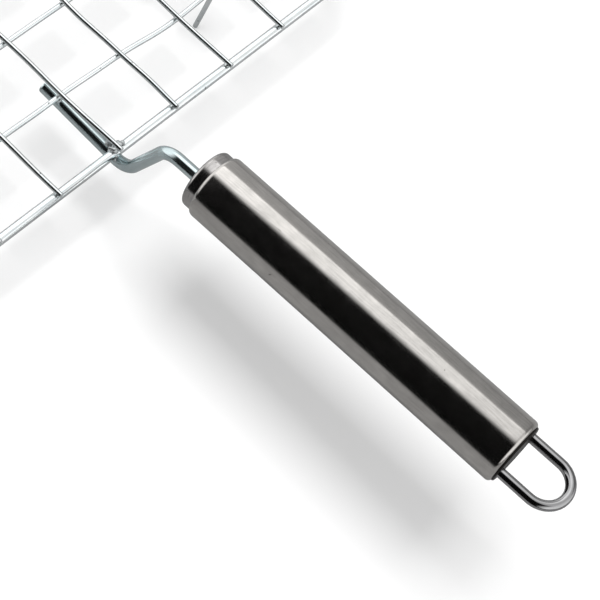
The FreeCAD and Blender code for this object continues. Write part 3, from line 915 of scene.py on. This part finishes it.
beads("lid_wall_welds", strut_joints, [WALL_WELD] * len(strut_joints), zinc_plate, "lid")


# ------------------------------------------------------------------ Hinge clips
# Steel strap folded round the rear border wire of the tray and the lid's rim wire, and pinched
# together between them. It grips the tray's wire, and the lid's turns in it.
STRAP = 0.0008
STRAP_EDGE = 0.00015
PIN_CLEARANCE = 0.00005
PINCH_BEND = 0.0008          # inner curve where the strap leaves a wire
STRAP_STEP = 0.0003


def strap_section(width):
    """A flat strip's outline with eased edges: its thickness first, its width second."""
    half = np.array([STRAP, width]) / 2 - STRAP_EDGE
    corners = [((1, 1), 0), ((-1, 1), 90), ((-1, -1), 180), ((1, -1), 270)]
    size = (STRAP_EDGE, STRAP_EDGE)
    return np.concatenate([arc(half * np.array(sign), size, turn, turn + 90, 4) for sign, turn in corners])


def strap_along(name, flat, x, origin, turn, width, body, stands_for, closed):
    """A strap carried along a flat line of (Y, Z) points, turned by an angle and placed at a pin."""
    spin = np.array([[math.cos(turn), math.sin(turn)], [-math.sin(turn), math.cos(turn)]])
    placed = evenly(flat, STRAP_STEP) @ spin + np.asarray(origin)
    if closed:
        placed = placed[:-1]
    path = np.concatenate([np.full((len(placed), 1), x), placed], axis=1)
    rings, run = carried(path, strap_section(width), up=(1, 0, 0), closed=closed)
    return piece(name, [(rings, run, closed)], strap_steel, body, [stands_for], sharp=35.0)


tray_pin = np.array([tray_ring[:, 1].max(), tray_ring[0][2]])
lid_pin = np.array([rim_near, rim_level])
between = lid_pin - tray_pin
pin_gap = np.linalg.norm(between)
grip = border_radius + STRAP / 2
eye = border_radius + PIN_CLEARANCE + STRAP / 2
fold_side = STRAP / 2 + PINCH_BEND
grip_fold = math.sqrt((grip + PINCH_BEND) ** 2 - fold_side ** 2)
eye_fold = math.sqrt((eye + PINCH_BEND) ** 2 - fold_side ** 2)
grip_turn = math.degrees(math.atan2(fold_side, grip_fold))
eye_turn = math.degrees(math.atan2(fold_side, eye_fold))
bend = (PINCH_BEND, PINCH_BEND)
clip_line = np.concatenate([
    arc((0, 0), (grip, grip), grip_turn, 360 - grip_turn, 40),
    arc((grip_fold, -fold_side), bend, 180 - grip_turn, 90),
    arc((pin_gap - eye_fold, -fold_side), bend, 90, eye_turn),
    arc((pin_gap, 0), (eye, eye), 180 + eye_turn, 540 - eye_turn, 40),
    arc((pin_gap - eye_fold, fold_side), bend, -eye_turn, -90),
    arc((grip_fold, fold_side), bend, 270, 180 + grip_turn),
])
clip_slope = math.atan2(between[1], between[0])
for side in ("left", "right"):
    clip_low, clip_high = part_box(side + "_hinge_clip")
    strap_along(
        side + "_hinge_clip_folded", clip_line, (clip_low.x + clip_high.x) / 2, tray_pin, clip_slope,
        clip_high.x - clip_low.x, "tray", side + "_hinge_clip", True)


# ------------------------------------------------------------------ Latch
# Spring strap rolled round the lid's front rim wire, where it swings. Its hook springs over the
# tray's border wire, and its lip is the thumb tab.
LATCH_GAP = 0.0003
LATCH_WRAP = 100.0           # degrees of the hook round the border wire
LATCH_LIP = 0.004
LIP_DROP = 35.0              # degrees the lip points below level
LIP_BEND = 0.0007
LATCH_HANG = math.radians(5.8)
KNUCKLE_START = -110.0       # degrees
KNUCKLE_END = 165.0
HOOK_START = 175.0

hook = border_radius + LATCH_GAP + STRAP / 2
drop = rim_level - tray_ring[0][2]
hook_end = 180.0 + LATCH_WRAP
hook_tip = arc((0, -drop), (hook, hook), hook_end, hook_end, 1)[0]
hook_way = math.radians(hook_end + 90.0)
lip_centre = hook_tip + LIP_BEND * np.array([math.sin(hook_way), -math.cos(hook_way)])
lip_line = arc(lip_centre, (LIP_BEND, LIP_BEND), LATCH_WRAP, 90 - LIP_DROP, 8)
lip_way = np.array([math.cos(math.radians(LIP_DROP)), -math.sin(math.radians(LIP_DROP))])
latch_line = np.concatenate([
    arc((0, 0), (eye, eye), KNUCKLE_START, KNUCKLE_END, 40),
    arc((0, -drop), (hook, hook), HOOK_START, hook_end, 30),
    lip_line,
    [lip_line[-1] + (LATCH_LIP - LIP_BEND) * lip_way],
])
latch_low, latch_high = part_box("latch_hook")
latch_pin = np.array([rim_far, rim_level])
strap_along(
    "latch_hook_rolled", latch_line, (latch_low.x + latch_high.x) / 2, latch_pin, LATCH_HANG,
    latch_high.x - latch_low.x, "latch", "latch_hook", False)
